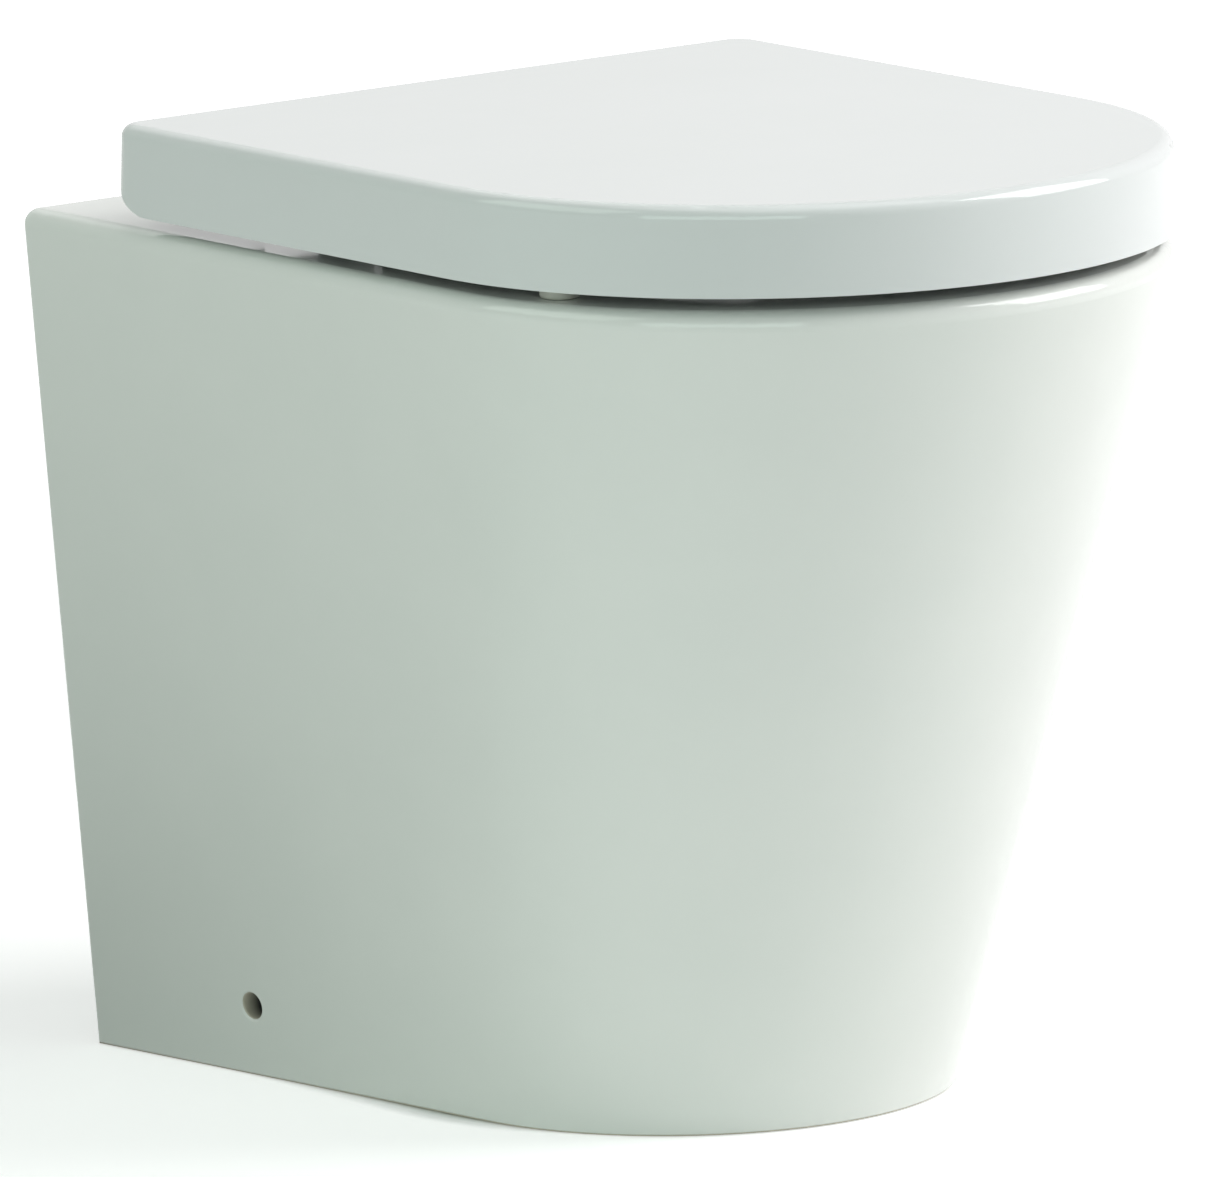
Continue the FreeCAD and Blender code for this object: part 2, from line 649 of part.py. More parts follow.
def ring_arm(side):
    """Arm from the back of the ring to its lug on the hinge axis."""
    start, toward = lug_span(side, True)
    x_start = min(start, start + toward * LUG_WIDTH)
    root_y = -RING_BACK_FROM_WALL - RING_ARM_OVERLAP
    root_top = RING_TOP - RING_ARM_ROOT_DROP
    corners = [
        at(x_start, AXIS_Y, AXIS_Z + LUG_RADIUS),
        at(x_start, AXIS_Y, AXIS_Z - LUG_RADIUS),
        at(x_start, root_y, root_top - RING_ARM_ROOT_DEPTH),
        at(x_start, root_y, root_top),
    ]
    web = Part.Face(Part.makePolygon(corners + corners[:1])).extrude(at(LUG_WIDTH, 0, 0))
    return web.fuse(cylinder_x(LUG_RADIUS, x_start, LUG_WIDTH, AXIS_Y, AXIS_Z))


def seat_ring():
    body = prism(ring_outline(0, RING_BOTTOM), RING_THICKNESS)
    body = body.makeFillet(RING_OUTER_EDGE_RADIUS, edges_at_height(body, RING_TOP))
    body = body.cut(prism(ring_hole(0, RING_BOTTOM - PAST), RING_THICKNESS + 2 * PAST))
    hole_edges = edges_within(edges_at_height(body, RING_TOP), RING_HOLE_HALF_X, RING_HOLE_FRONT,
                              RING_HOLE_BACK)
    body = body.makeFillet(RING_INNER_EDGE_RADIUS, hole_edges)

    depth = RING_THICKNESS - RING_WALL
    hollow = prism(ring_outline(RING_WALL, RING_BOTTOM - PAST), depth + PAST)
    hollow = hollow.cut(prism(ring_hole(RING_WALL, RING_BOTTOM - 2 * PAST), depth + 4 * PAST))
    for places in RING_BUFFERS.values():
        for x, y in places:
            hollow = hollow.cut(cylinder_z(BUFFER_BOSS_RADIUS, RING_BOTTOM - PAST, depth + 2 * PAST, x, y))
    body = body.cut(hollow)
    for side in (-1, 1):
        body = body.fuse(ring_arm(side))
        body = body.cut(lug_hole(side, True))
    for places in RING_BUFFERS.values():
        for x, y in places:
            body = body.cut(cylinder_z(BUFFER_PEG_RADIUS, RING_BOTTOM, BUFFER_PEG_LENGTH, x, y))
    return body.removeSplitter()


def ring_buffer(x, y):
    height = RING_FOOT - REST_GAP
    foot = cylinder_z(BUFFER_RADIUS, PAN_HEIGHT + REST_GAP, height, x, y)
    foot = foot.makeFillet(BUFFER_EDGE_RADIUS, edges_at_height(foot, PAN_HEIGHT + REST_GAP))
    return foot.fuse(cylinder_z(BUFFER_PEG_RADIUS, RING_BOTTOM, BUFFER_PEG_LENGTH, x, y))


def lid_buffer(x, y):
    bottom = RING_TOP + REST_GAP
    pad = cylinder_z(LID_BUFFER_RADIUS, bottom, LID_UNDERSIDE - bottom, x, y)
    return pad.makeFillet(BUFFER_EDGE_RADIUS, edges_at_height(pad, bottom))


# Hinge of one side

def hinge_base(side):
    x = side * HINGE_SPACING / 2
    disc = cylinder_z(BASE_RADIUS, BASE_BOTTOM, BASE_THICKNESS, x, -PILLAR_FROM_WALL)
    disc = disc.makeFillet(BASE_EDGE_RADIUS, edges_at_height(disc, BASE_TOP))
    pillar = cylinder_z(PILLAR_RADIUS, BASE_BOTTOM, BLOCK_TOP - BASE_BOTTOM, x, -PILLAR_FROM_WALL)
    thread = cylinder_z(STUD_RADIUS + SLIP, BASE_BOTTOM - PAST, STUD_GRIP + PAST, x, -PILLAR_FROM_WALL)
    return disc.fuse(pillar).cut(thread)


def base_gasket(side):
    x = side * HINGE_SPACING / 2
    pad = cylinder_z(BASE_RADIUS, PAN_HEIGHT, GASKET_THICKNESS, x, -PILLAR_FROM_WALL)
    return pad.cut(cylinder_z(STUD_RADIUS + SLIP, PAN_HEIGHT - PAST, GASKET_THICKNESS + 2 * PAST,
                              x, -PILLAR_FROM_WALL))


def barrel_end(side, inner):
    """X of a barrel end, and the direction that points out of it."""
    toward = -side if inner else side
    return side * HINGE_SPACING / 2 + toward * BARREL_LENGTH / 2, toward


def along_axis(radius, x, toward, length):
    return Part.makeCylinder(radius, length, at(x, AXIS_Y, AXIS_Z), at(toward, 0, 0))


def hinge_block(side):
    x = side * HINGE_SPACING / 2
    bottom = BASE_TOP + BLOCK_LIFT
    sleeve = cylinder_z(SLEEVE_RADIUS, bottom, BLOCK_TOP - bottom, x, -PILLAR_FROM_WALL)
    arm = box((x - ARM_WIDTH / 2, x + ARM_WIDTH / 2), (-PILLAR_FROM_WALL, AXIS_Y),
              (AXIS_Z - ARM_DROP, BLOCK_TOP))
    barrel = cylinder_x(BARREL_RADIUS, x - BARREL_LENGTH / 2, BARREL_LENGTH, AXIS_Y, AXIS_Z)
    body = sleeve.fuse(arm).fuse(barrel)
    body = body.cut(cylinder_z(PILLAR_RADIUS + SLIP, bottom - PAST, BLOCK_TOP - bottom + 2 * PAST,
                               x, -PILLAR_FROM_WALL))
    damped, outward = barrel_end(side, DAMPER_ON_INNER_LUG[side])
    body = body.cut(along_axis(DAMPER_RADIUS + SLIP, damped, -outward, DAMPER_LENGTH))
    plain, outward = barrel_end(side, not DAMPER_ON_INNER_LUG[side])
    body = body.cut(along_axis(PIN_RADIUS + SLIP, plain, -outward, PIN_GRIP))
    front = -PILLAR_FROM_WALL - SLEEVE_RADIUS - PAST
    body = body.cut(cylinder_y(GRUB_RADIUS + SLIP, front, SLEEVE_RADIUS + PAST, x, AXIS_Z - ARM_DROP))
    return body.removeSplitter()


def grub_screw(side):
    x = side * HINGE_SPACING / 2
    z = AXIS_Z - ARM_DROP
    front = -PILLAR_FROM_WALL - SLEEVE_RADIUS
    length = SLEEVE_RADIUS - PILLAR_RADIUS
    socket = cylinder_y(GRUB_SOCKET_RADIUS, front - PAST, GRUB_SOCKET_DEPTH + PAST, x, z)
    return cylinder_y(GRUB_RADIUS, front, length, x, z).cut(socket)


def damper_case(side):
    end, outward = barrel_end(side, DAMPER_ON_INNER_LUG[side])
    case = along_axis(DAMPER_RADIUS, end, -outward, DAMPER_LENGTH)
    chamber_start = end - outward * DAMPER_END_WALL
    case = case.cut(along_axis(DAMPER_BORE_RADIUS, chamber_start, -outward,
                               DAMPER_LENGTH - 2 * DAMPER_END_WALL))
    shaft_hole = along_axis(PIN_RADIUS + RUNNING, end + outward * PAST, -outward, DAMPER_END_WALL + 2 * PAST)
    return case.cut(shaft_hole)


def damper_rotor(side):
    end, outward = barrel_end(side, DAMPER_ON_INNER_LUG[side])
    vane_length = DAMPER_LENGTH - 2 * DAMPER_END_WALL - 2 * VANE_GAP
    vane_start = end - outward * (DAMPER_END_WALL + VANE_GAP)
    vane = along_axis(DAMPER_BORE_RADIUS - VANE_GAP, vane_start, -outward, vane_length)
    neck_start = vane_start - outward * PAST
    neck = along_axis(PIN_RADIUS, neck_start, outward, PAST + DAMPER_END_WALL + VANE_GAP + LUG_SIDE_GAP)
    drive = along_axis(PIN_RADIUS, end + outward * LUG_SIDE_GAP, outward, LUG_BORE_DEPTH - SLIP)
    drive = drive.common(flats_bar(ROTOR_FLATS / 2))
    return vane.fuse(neck).fuse(drive)


def hinge_pin(side):
    end, outward = barrel_end(side, not DAMPER_ON_INNER_LUG[side])
    start = end - outward * PIN_GRIP
    return along_axis(PIN_RADIUS, start, outward, PIN_GRIP + LUG_SIDE_GAP + LUG_BORE_DEPTH - 2 * REST_GAP)


def pin_bush(side):
    inner = not DAMPER_ON_INNER_LUG[side]
    bush = lug_bore(side, inner, PIN_RADIUS + RUNNING + BUSH_WALL - SLIP, LUG_BORE_DEPTH)
    start, toward = lug_span(side, inner)
    pin_hole = along_axis(PIN_RADIUS + RUNNING, start - toward * PAST, toward, LUG_BORE_DEPTH + 2 * PAST)
    return bush.cut(pin_hole)


# Seat fixings of one side, from the base down through the deck

def fixing_stud(side):
    bottom = DECK_UNDERSIDE - STUD_DROP
    top = BASE_BOTTOM + STUD_GRIP
    return cylinder_z(STUD_RADIUS, bottom, top - bottom, side * HINGE_SPACING / 2, -PILLAR_FROM_WALL)


def fixing_ring(side, radius, top, thickness):
    x = side * HINGE_SPACING / 2
    disc = cylinder_z(radius, top - thickness, thickness, x, -PILLAR_FROM_WALL)
    return disc.cut(cylinder_z(STUD_RADIUS + SLIP, top - thickness - PAST, thickness + 2 * PAST,
                               x, -PILLAR_FROM_WALL))


def cone_washer(side):
    flange = fixing_ring(side, CONE_WASHER_RADIUS, DECK_UNDERSIDE, CONE_WASHER_THICKNESS)
    spigot_top = DECK_UNDERSIDE + CONE_SPIGOT_HEIGHT
    spigot = fixing_ring(side, DECK_HOLE_RADIUS - SLIP, spigot_top, CONE_SPIGOT_HEIGHT)
    return flange.fuse(spigot).removeSplitter()


def flat_washer(side):
    top = DECK_UNDERSIDE - CONE_WASHER_THICKNESS
    return fixing_ring(side, FLAT_WASHER_RADIUS, top, FLAT_WASHER_THICKNESS)


def wing_nut(side):
    x = side * HINGE_SPACING / 2
    top = DECK_UNDERSIDE - CONE_WASHER_THICKNESS - FLAT_WASHER_THICKNESS
    hub = cylinder_z(NUT_RADIUS, top - NUT_HEIGHT, NUT_HEIGHT, x, -PILLAR_FROM_WALL)
    wings = box((x - WING_REACH, x + WING_REACH),
                (-PILLAR_FROM_WALL - WING_THICKNESS / 2, -PILLAR_FROM_WALL + WING_THICKNESS / 2),
                (top - NUT_HEIGHT, top - NUT_HEIGHT + WING_HEIGHT))
    thread = cylinder_z(STUD_RADIUS + SLIP, top - NUT_HEIGHT - PAST, NUT_HEIGHT + 2 * PAST,
                        x, -PILLAR_FROM_WALL)
    return hub.fuse(wings).cut(thread)


SIDES = {"left": -1, "right": 1}
PER_SIDE = {
    "hinge_base": hinge_base,
    "base_gasket": base_gasket,
    "hinge_block": hinge_block,
    "grub_screw": grub_screw,
    "damper_case": damper_case,
    "damper_rotor": damper_rotor,
    "hinge_pin": hinge_pin,
    "pin_bush": pin_bush,
    "fixing_stud": fixing_stud,
    "cone_washer": cone_washer,
    "flat_washer": flat_washer,
    "wing_nut": wing_nut,
}

save("pan", pan())
save("inlet_seal", inlet_seal())
save("seat_lid", seat_lid())
save("seat_ring", seat_ring())
for side_name, side in SIDES.items():
    for piece, make in PER_SIDE.items():
        save(piece + "_" + side_name, make(side))
for end_name, places in RING_BUFFERS.items():
    for side_name, (x, y) in zip(SIDES, places):
        save("ring_buffer_" + end_name + "_" + side_name, ring_buffer(x, y))
for end_name, places in LID_BUFFERS.items():
    for side_name, (x, y) in zip(SIDES, places):
        save("lid_buffer_" + end_name + "_" + side_name, lid_buffer(x, y))
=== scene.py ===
import json
import math
import bmesh
import bpy
from mathutils import Matrix, Vector


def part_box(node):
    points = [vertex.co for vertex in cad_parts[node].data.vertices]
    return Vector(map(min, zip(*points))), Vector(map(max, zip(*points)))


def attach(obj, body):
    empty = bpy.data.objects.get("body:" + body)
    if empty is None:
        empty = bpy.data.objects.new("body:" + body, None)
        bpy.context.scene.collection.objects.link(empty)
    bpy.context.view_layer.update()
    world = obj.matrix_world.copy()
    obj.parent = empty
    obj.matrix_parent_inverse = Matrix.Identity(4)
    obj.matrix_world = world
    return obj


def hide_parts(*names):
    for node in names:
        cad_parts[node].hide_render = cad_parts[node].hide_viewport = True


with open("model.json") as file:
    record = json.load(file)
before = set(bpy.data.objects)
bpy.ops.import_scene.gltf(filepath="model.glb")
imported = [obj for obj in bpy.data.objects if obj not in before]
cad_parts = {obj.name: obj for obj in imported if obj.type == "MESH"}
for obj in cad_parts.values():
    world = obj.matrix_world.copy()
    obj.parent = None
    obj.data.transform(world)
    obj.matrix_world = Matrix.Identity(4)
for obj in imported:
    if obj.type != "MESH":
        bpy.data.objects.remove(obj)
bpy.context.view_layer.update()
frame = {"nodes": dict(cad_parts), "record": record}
nodes = frame["nodes"]
mounts = {mount["name"]: mount for mount in frame["record"]["mounts"]}
sides = ("left", "right")
mm = 0.001    # in the scene's metres


# Materials

def srgb(code):    # "#rrggbb" to linear RGBA
    parts = [int(code[i:i + 2], 16) / 255 for i in (1, 3, 5)]
    return [c / 12.92 if c <= 0.04045 else ((c + 0.055) / 1.055) ** 2.4 for c in parts] + [1.0]


def addNode(tree, kind, settings=None, values=None, links=None):
    node = tree.nodes.new("ShaderNode" + kind)
    for name, value in (settings or {}).items():
        setattr(node, name, value)
    for socket, value in (values or {}).items():
        node.inputs[socket].default_value = value
    for socket, source in (links or {}).items():
        tree.links.new(source, node.inputs[socket])
    return node


def startMaterial(name):
    material = bpy.data.materials.new(name)
    material.use_nodes = True
    tree = material.node_tree
    tree.nodes.clear()
    return material, tree, addNode(tree, "TexCoord").outputs["Object"]


noiseDetail = {"drift": 3.0, "rub": 2.0, "relief": 1.0}


def dress(tree, place, look):    # colour drift, uneven gloss and fine relief, all sized in millimetres
    drift = addNode(tree, "TexNoise", links={"Vector": place},
                    values={"Scale": 1 / (look["driftMm"] * mm), "Detail": noiseDetail["drift"]})
    colour = addNode(tree, "MixRGB", values={"Color1": srgb(look["light"]), "Color2": srgb(look["dark"])},
                     links={"Fac": drift.outputs["Fac"]})
    rub = addNode(tree, "TexNoise", links={"Vector": place},
                  values={"Scale": 1 / (look["rubMm"] * mm), "Detail": noiseDetail["rub"]})
    gloss = addNode(tree, "MapRange", values={"To Min": look["gloss"][0], "To Max": look["gloss"][1]},
                    links={"Value": rub.outputs["Fac"]})
    normal = {}
    for sizeMm, heightMm in look["relief"]:    # each layer lies on the one before
        swell = addNode(tree, "TexNoise", links={"Vector": place},
                        values={"Scale": 1 / (sizeMm * mm), "Detail": noiseDetail["relief"]})
        bump = addNode(tree, "Bump", values={"Distance": heightMm * mm},
                       links={"Height": swell.outputs["Fac"], **normal})
        normal = {"Normal": bump.outputs["Normal"]}
    shader = addNode(tree, "BsdfPrincipled", values=look["shader"],
                     links={"Base Color": colour.outputs["Color"], "Roughness": gloss.outputs["Result"],
                            **normal})
    addNode(tree, "OutputMaterial", links={"Surface": shader.outputs["BSDF"]})
    return shader


# Vitreous china, slip cast and glazed: cold white, wet gloss, reflections that wander a little
china = {
    "light": "#f3f4f0", "dark": "#edefeb", "driftMm": 70, "rubMm": 18, "gloss": (0.04, 0.10),
    "relief": [(4, 0.002), (48, 0.16)], "shader": {"IOR": 1.52},
    "speck": "#a9a698", "speckCellMm": 60, "speckRadiusMm": 0.45, "speckAbove": 0.75,
    # the last dark colour and its depth in millimetres are painted shade, deeper inside the fixing holes
    "clay": "#d0c9ba", "clayRough": 0.65, "edgeMm": 0.8, "holeEdgeMm": 0.3, "boreShade": "#2b2a27", "boreShadeMm": 4,
}


def addSpecks(tree, place, glaze):    # a few fired-in dots, less than a millimetre across
    cells = addNode(tree, "TexVoronoi", values={"Scale": 1 / (china["speckCellMm"] * mm)},
                    links={"Vector": place})
    dot = addNode(tree, "Math", {"operation": "LESS_THAN"},
                  {1: china["speckRadiusMm"] / china["speckCellMm"]}, {0: cells.outputs["Distance"]})
    pick = addNode(tree, "Math", {"operation": "GREATER_THAN"}, {1: china["speckAbove"]},
                   {0: cells.outputs["Color"]})    # only a cell with a bright random colour has one
    speck = addNode(tree, "Math", {"operation": "MULTIPLY"}, links={0: dot.outputs[0], 1: pick.outputs[0]})
    return addNode(tree, "MixRGB", values={"Color2": srgb(china["speck"])},
                   links={"Fac": speck.outputs[0], "Color1": glaze}).outputs["Color"]


def makeChina():
    material, tree, place = startMaterial("vitreousChina")
    shader = dress(tree, place, china)
    glaze = addSpecks(tree, place, shader.inputs["Base Color"].links[0].from_socket)
    # bare clay on the foot, on the back edge and in the fixing holes
    axes = addNode(tree, "SeparateXYZ", links={0: place})
    edge = china["edgeMm"] * mm
    foot = addNode(tree, "Math", {"operation": "LESS_THAN"}, {1: edge}, {0: axes.outputs["Z"]})
    back = addNode(tree, "Math", {"operation": "GREATER_THAN"}, {1: -edge}, {0: axes.outputs["Y"]})
    hole = mounts["side_fixing_left"]    # the right one lies at the same Y and Z
    sideways = addNode(tree, "VectorMath", {"operation": "MULTIPLY"}, {1: (0, 1, 1)}, {0: place})
    reach = addNode(tree, "VectorMath", {"operation": "DISTANCE"}, {1: (0, *hole["pos_m"][1:])},
                    {0: sideways.outputs[0]})
    bore = addNode(tree, "Math", {"operation": "LESS_THAN"},
                   {1: (hole["dims"]["hole_r_mm"] + china["holeEdgeMm"]) * mm},
                   {0: reach.outputs["Value"]})
    edges = addNode(tree, "Math", {"operation": "MAXIMUM"},
                    links={0: foot.outputs[0], 1: back.outputs[0]})
    unglazed = addNode(tree, "Math", {"operation": "MAXIMUM"},
                       links={0: edges.outputs[0], 1: bore.outputs[0]})
    # painted shade: the bare clay in a hole is drawn darker further in, where less light reaches
    across = addNode(tree, "Math", {"operation": "ABSOLUTE"}, links={0: axes.outputs["X"]})
    middle = abs(hole["pos_m"][0])
    half = china["boreShadeMm"] * mm
    inward = addNode(tree, "MapRange", values={"From Min": middle + half, "From Max": middle - half},
                     links={"Value": across.outputs[0]})
    paintedShade = addNode(tree, "Math", {"operation": "MULTIPLY"},
                    links={0: inward.outputs["Result"], 1: bore.outputs[0]})
    clay = addNode(tree, "MixRGB", values={"Color1": srgb(china["clay"]), "Color2": srgb(china["boreShade"])},
                   links={"Fac": paintedShade.outputs[0]})
    colour = addNode(tree, "MixRGB", links={"Fac": unglazed.outputs[0], "Color1": glaze,
                                            "Color2": clay.outputs["Color"]})
    rough = addNode(tree, "Math", {"operation": "MULTIPLY_ADD"}, {1: china["clayRough"]},
                    {0: unglazed.outputs[0], 2: shader.inputs["Roughness"].links[0].from_socket})
    tree.links.new(colour.outputs["Color"], shader.inputs["Base Color"])
    tree.links.new(rough.outputs[0], shader.inputs["Roughness"])
    return material


# Urea thermoset, hot pressed and polished: dense neutral white, flat mirror gloss, faint moulding peel
urea = {
    "light": "#e8eaea", "dark": "#e3e6e5", "driftMm": 90, "rubMm": 9, "gloss": (0.04, 0.09),
    "relief": [(1.4, 0.0012), (80, 0.06)], "shader": {"IOR": 1.54},
}
# Thermoplastic rubber, injection moulded: chalky off-white that takes no sharp highlight
softWhite = {
    "light": "#e6e4dc", "dark": "#d8d5ca", "driftMm": 4, "rubMm": 1.5, "gloss": (0.5, 0.7),
    "relief": [(0.4, 0.02)], "shader": {"IOR": 1.48},
}
# Soft clear vinyl, cut from sheet: milky and a little see-through
clearVinyl = {
    "light": "#dfe4e1", "dark": "#cfd6d3", "driftMm": 6, "rubMm": 3, "gloss": (0.25, 0.4),
    "relief": [(0.8, 0.01)], "shader": {"IOR": 1.42, "Transmission Weight": 0.45},
}
# EPDM rubber, moulded: near black with a grey bloom on the skin
blackRubber = {
    "light": "#1c1c1d", "dark": "#2f2f30", "driftMm": 5, "rubMm": 2, "gloss": (0.5, 0.75),
    "relief": [(0.5, 0.03)], "shader": {"IOR": 1.52},
}
# Zinc die casting, chrome plated: bright mirror with a slow ripple from the casting under it
chrome = {
    "light": "#d3d5d7", "dark": "#c6c8cb", "driftMm": 14, "rubMm": 5, "gloss": (0.03, 0.12),
    "relief": [(9, 0.012)], "shader": {"Metallic": 1.0},
}
# Nylon, injection moulded and left natural: warm translucent white, satin
nylon = {
    "light": "#ebe7da", "dark": "#ded8c6", "driftMm": 8, "rubMm": 2.5, "gloss": (0.35, 0.5),
    "relief": [(0.6, 0.012)], "shader": {"IOR": 1.53, "Subsurface Weight": 0.25, "Subsurface Scale": 0.002},
}
# Acetal, injection moulded: dark grey, waxy sheen
acetal = {
    "light": "#3a3d40", "dark": "#303336", "driftMm": 6, "rubMm": 1.8, "gloss": (0.3, 0.45),
    "relief": [(0.5, 0.01)], "shader": {"IOR": 1.48},
}
# Stainless steel, turned on a lathe: grey metal with fine rings round the pillar
steel = {
    "light": "#c8c6c2", "dark": "#b3b1ad", "driftMm": 10, "rubMm": 3, "gloss": (0.18, 0.3),
    "relief": [(6, 0.004)], "shader": {"Metallic": 1.0},
    "ringMm": 0.5, "ringHeightMm": 0.008,    # tool marks drawn coarser than real, so that they show
}


def makePlain(name, look):
    material, tree, place = startMaterial(name)
    dress(tree, place, look)
    return material


def makeSteel():
    material, tree, place = startMaterial("turnedStainless")
    shader = dress(tree, place, steel)
    lo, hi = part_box("hinge_base_right")
    axis = (lo + hi) / 2
    # both pillars are measured as one, with X and Y made positive
    folded = addNode(tree, "VectorMath", {"operation": "ABSOLUTE"}, links={0: place})
    level = addNode(tree, "VectorMath", {"operation": "MULTIPLY"}, {1: (1, 1, 0)}, {0: folded.outputs[0]})
    radius = addNode(tree, "VectorMath", {"operation": "DISTANCE"}, {1: (axis.x, -axis.y, 0)},
                     {0: level.outputs[0]})
    rings = addNode(tree, "TexNoise", {"noise_dimensions": "1D"}, {"Scale": 1 / (steel["ringMm"] * mm)},
                    {"W": radius.outputs["Value"]})
    plain = shader.inputs["Normal"].links[0].from_socket
    bump = addNode(tree, "Bump", values={"Distance": steel["ringHeightMm"] * mm},
                   links={"Height": rings.outputs["Fac"], "Normal": plain})
    tree.links.new(bump.outputs["Normal"], shader.inputs["Normal"])
    return material


finishes = {
    "china": makeChina(), "seat_plastic": makePlain("pressedUrea", urea),
    "white_rubber": makePlain("mouldedWhiteRubber", softWhite),
    "clear_rubber": makePlain("clearVinyl", clearVinyl),
    "black_rubber": makePlain("mouldedBlackRubber", blackRubber),
    "stainless": makeSteel(), "chrome": makePlain("chromedZinc", chrome),
    "nylon": makePlain("naturalNylon", nylon), "damper_plastic": makePlain("greyAcetal", acetal),
}
slotOf = {name: node.material_slots[0].material.name for name, node in nodes.items()}
for name, node in nodes.items():
    node.material_slots[0].material = finishes[slotOf[name]]
print("materials:", len(finishes))


# Pieces with more shape than the plain solids: each stands in the place of its node

crease = {"flatDegrees": 0.5, "sharpDegrees": 30}
flatAngle = math.radians(crease["flatDegrees"])
sharpAngle = math.radians(crease["sharpDegrees"])


def addPiece(name, shape, body, slotName, source):
    mesh = bpy.data.meshes.new(name)
    shape.to_mesh(mesh)
    shape.free()
    mesh.shade_smooth()
    mesh.set_sharp_from_angle(angle=sharpAngle)
    mesh.materials.append(finishes[slotName])
    piece = bpy.data.objects.new(name, mesh)
    bpy.context.scene.collection.objects.link(piece)
    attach(piece, body)
    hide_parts(source)
    return piece


softEdged = {
    "hinge_block": {"name": "hingeBlock", "edge": 0.0008, "steps": 4, "weld": 1e-6},
    "wing_nut": {"name": "wingNut", "edge": 0.0007, "steps": 4, "weld": 1e-6},
    "flat_washer": {"name": "flatWasher", "edge": 0.0003, "steps": 2, "weld": 1e-6},
}


def makeSoftEdged(source, rule, side):
    shape = bmesh.new()
    shape.from_mesh(nodes[source].data)
    bmesh.ops.remove_doubles(shape, verts=shape.verts, dist=rule["weld"])
    bmesh.ops.dissolve_limit(shape, angle_limit=flatAngle, verts=shape.verts, edges=shape.edges)
    sharp = [edge for edge in shape.edges if edge.is_manifold and edge.calc_face_angle() > sharpAngle]
    bmesh.ops.bevel(shape, geom=sharp, offset=rule["edge"], offset_type="OFFSET", affect="EDGES",
                    segments=rule["steps"], profile=0.5, material=-1, clamp_overlap=True)
    piece = addPiece(rule["name"] + side.capitalize(), shape, "pan", slotOf[source], source)
    piece.modifiers.new("flatFaces", "WEIGHTED_NORMAL").keep_sharp = True


for kind, rule in softEdged.items():
    for side in sides:
        makeSoftEdged(kind + "_" + side, rule, side)
print("soft-edged pieces:", len(softEdged) * len(sides))


stud = {
    "pitch": 0.00125, "depth": 0.00065, "crest": 0.00018,
    "turnSteps": 32, "spareTurns": 2, "weld": 1.25e-5,
}


def makeStud(side):
    source = "fixing_stud_" + side
    lo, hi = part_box(source)
    radius = (hi.x - lo.x) / 2
    pitch = stud["pitch"]
    root = radius - stud["depth"]
    start = Vector(((lo.x + hi.x) / 2, (lo.y + hi.y) / 2, lo.z - pitch))
    profile = [(root, 0.0), (radius, (pitch - stud["crest"]) / 2),
               (radius, (pitch + stud["crest"]) / 2), (root, pitch)]
    shape = bmesh.new()
    points = [shape.verts.new(start + Vector((r, 0, z))) for r, z in profile]
    edges = [shape.edges.new(pair) for pair in zip(points, points[1:])]
    # the thread winds past both ends of the stud and is then cut to length
    turns = math.ceil((hi.z - lo.z) / pitch) + stud["spareTurns"]
    bmesh.ops.spin(shape, geom=points + edges, cent=start, axis=(0, 0, 1),
                   dvec=(0, 0, pitch / stud["turnSteps"]), angle=2 * math.pi * turns,
                   steps=turns * stud["turnSteps"])
    bmesh.ops.remove_doubles(shape, verts=shape.verts, dist=stud["weld"])
    for z, up in ((lo.z, -1), (hi.z, 1)):
        cut = bmesh.ops.bisect_plane(shape, geom=shape.verts[:] + shape.edges[:] + shape.faces[:],
                                     plane_co=(0, 0, z), plane_no=(0, 0, up), clear_outer=True)
        rim = [item for item in cut["geom_cut"] if isinstance(item, bmesh.types.BMEdge)]
        bmesh.ops.edgeloop_fill(shape, edges=rim)
    bmesh.ops.recalc_face_normals(shape, faces=shape.faces)
    addPiece("threadedStud" + side.capitalize(), shape, "pan", slotOf[source], source)


for side in sides:
    makeStud(side)
print("threaded studs:", len(sides))


# Camera, at the photograph's viewing angle

photo = {"width": 1223, "focalPixels": 17968.5, "sensor": 36.0}
eye = {"azimuth": -37.138, "elevation": 10.560, "roll": -1.252, "distance": 8.0,
       "target": (-0.039793, -0.250, 0.229648)}


def aim(azimuth, elevation):    # unit vector from the target towards a place seen at this angle
    a, e = math.radians(azimuth), math.radians(elevation)
    return Vector((math.sin(a) * math.cos(e), -math.cos(a) * math.cos(e), math.sin(e)))


def makeCamera():
    data = bpy.data.cameras.new("photoCamera")
    data.sensor_fit = "HORIZONTAL"
    data.sensor_width = photo["sensor"]
    data.lens = photo["sensor"] * photo["focalPixels"] / photo["width"]
    camera = bpy.data.objects.new("photoCamera", data)
    bpy.context.scene.collection.objects.link(camera)
    back = aim(eye["azimuth"], eye["elevation"])
    level = Vector((math.cos(math.radians(eye["azimuth"])), math.sin(math.radians(eye["azimuth"])), 0))
    right = Matrix.Rotation(math.radians(eye["roll"]), 3, back) @ level
    turn = Matrix((right, back.cross(right), back)).transposed()
    camera.matrix_world = Matrix.Translation(Vector(eye["target"]) + back * eye["distance"]) @ turn.to_4x4()
    bpy.context.scene.camera = camera


makeCamera()
print("camera made")


# Lamps: a broad key from the right, two greenish panels on the left, soft light from above and behind

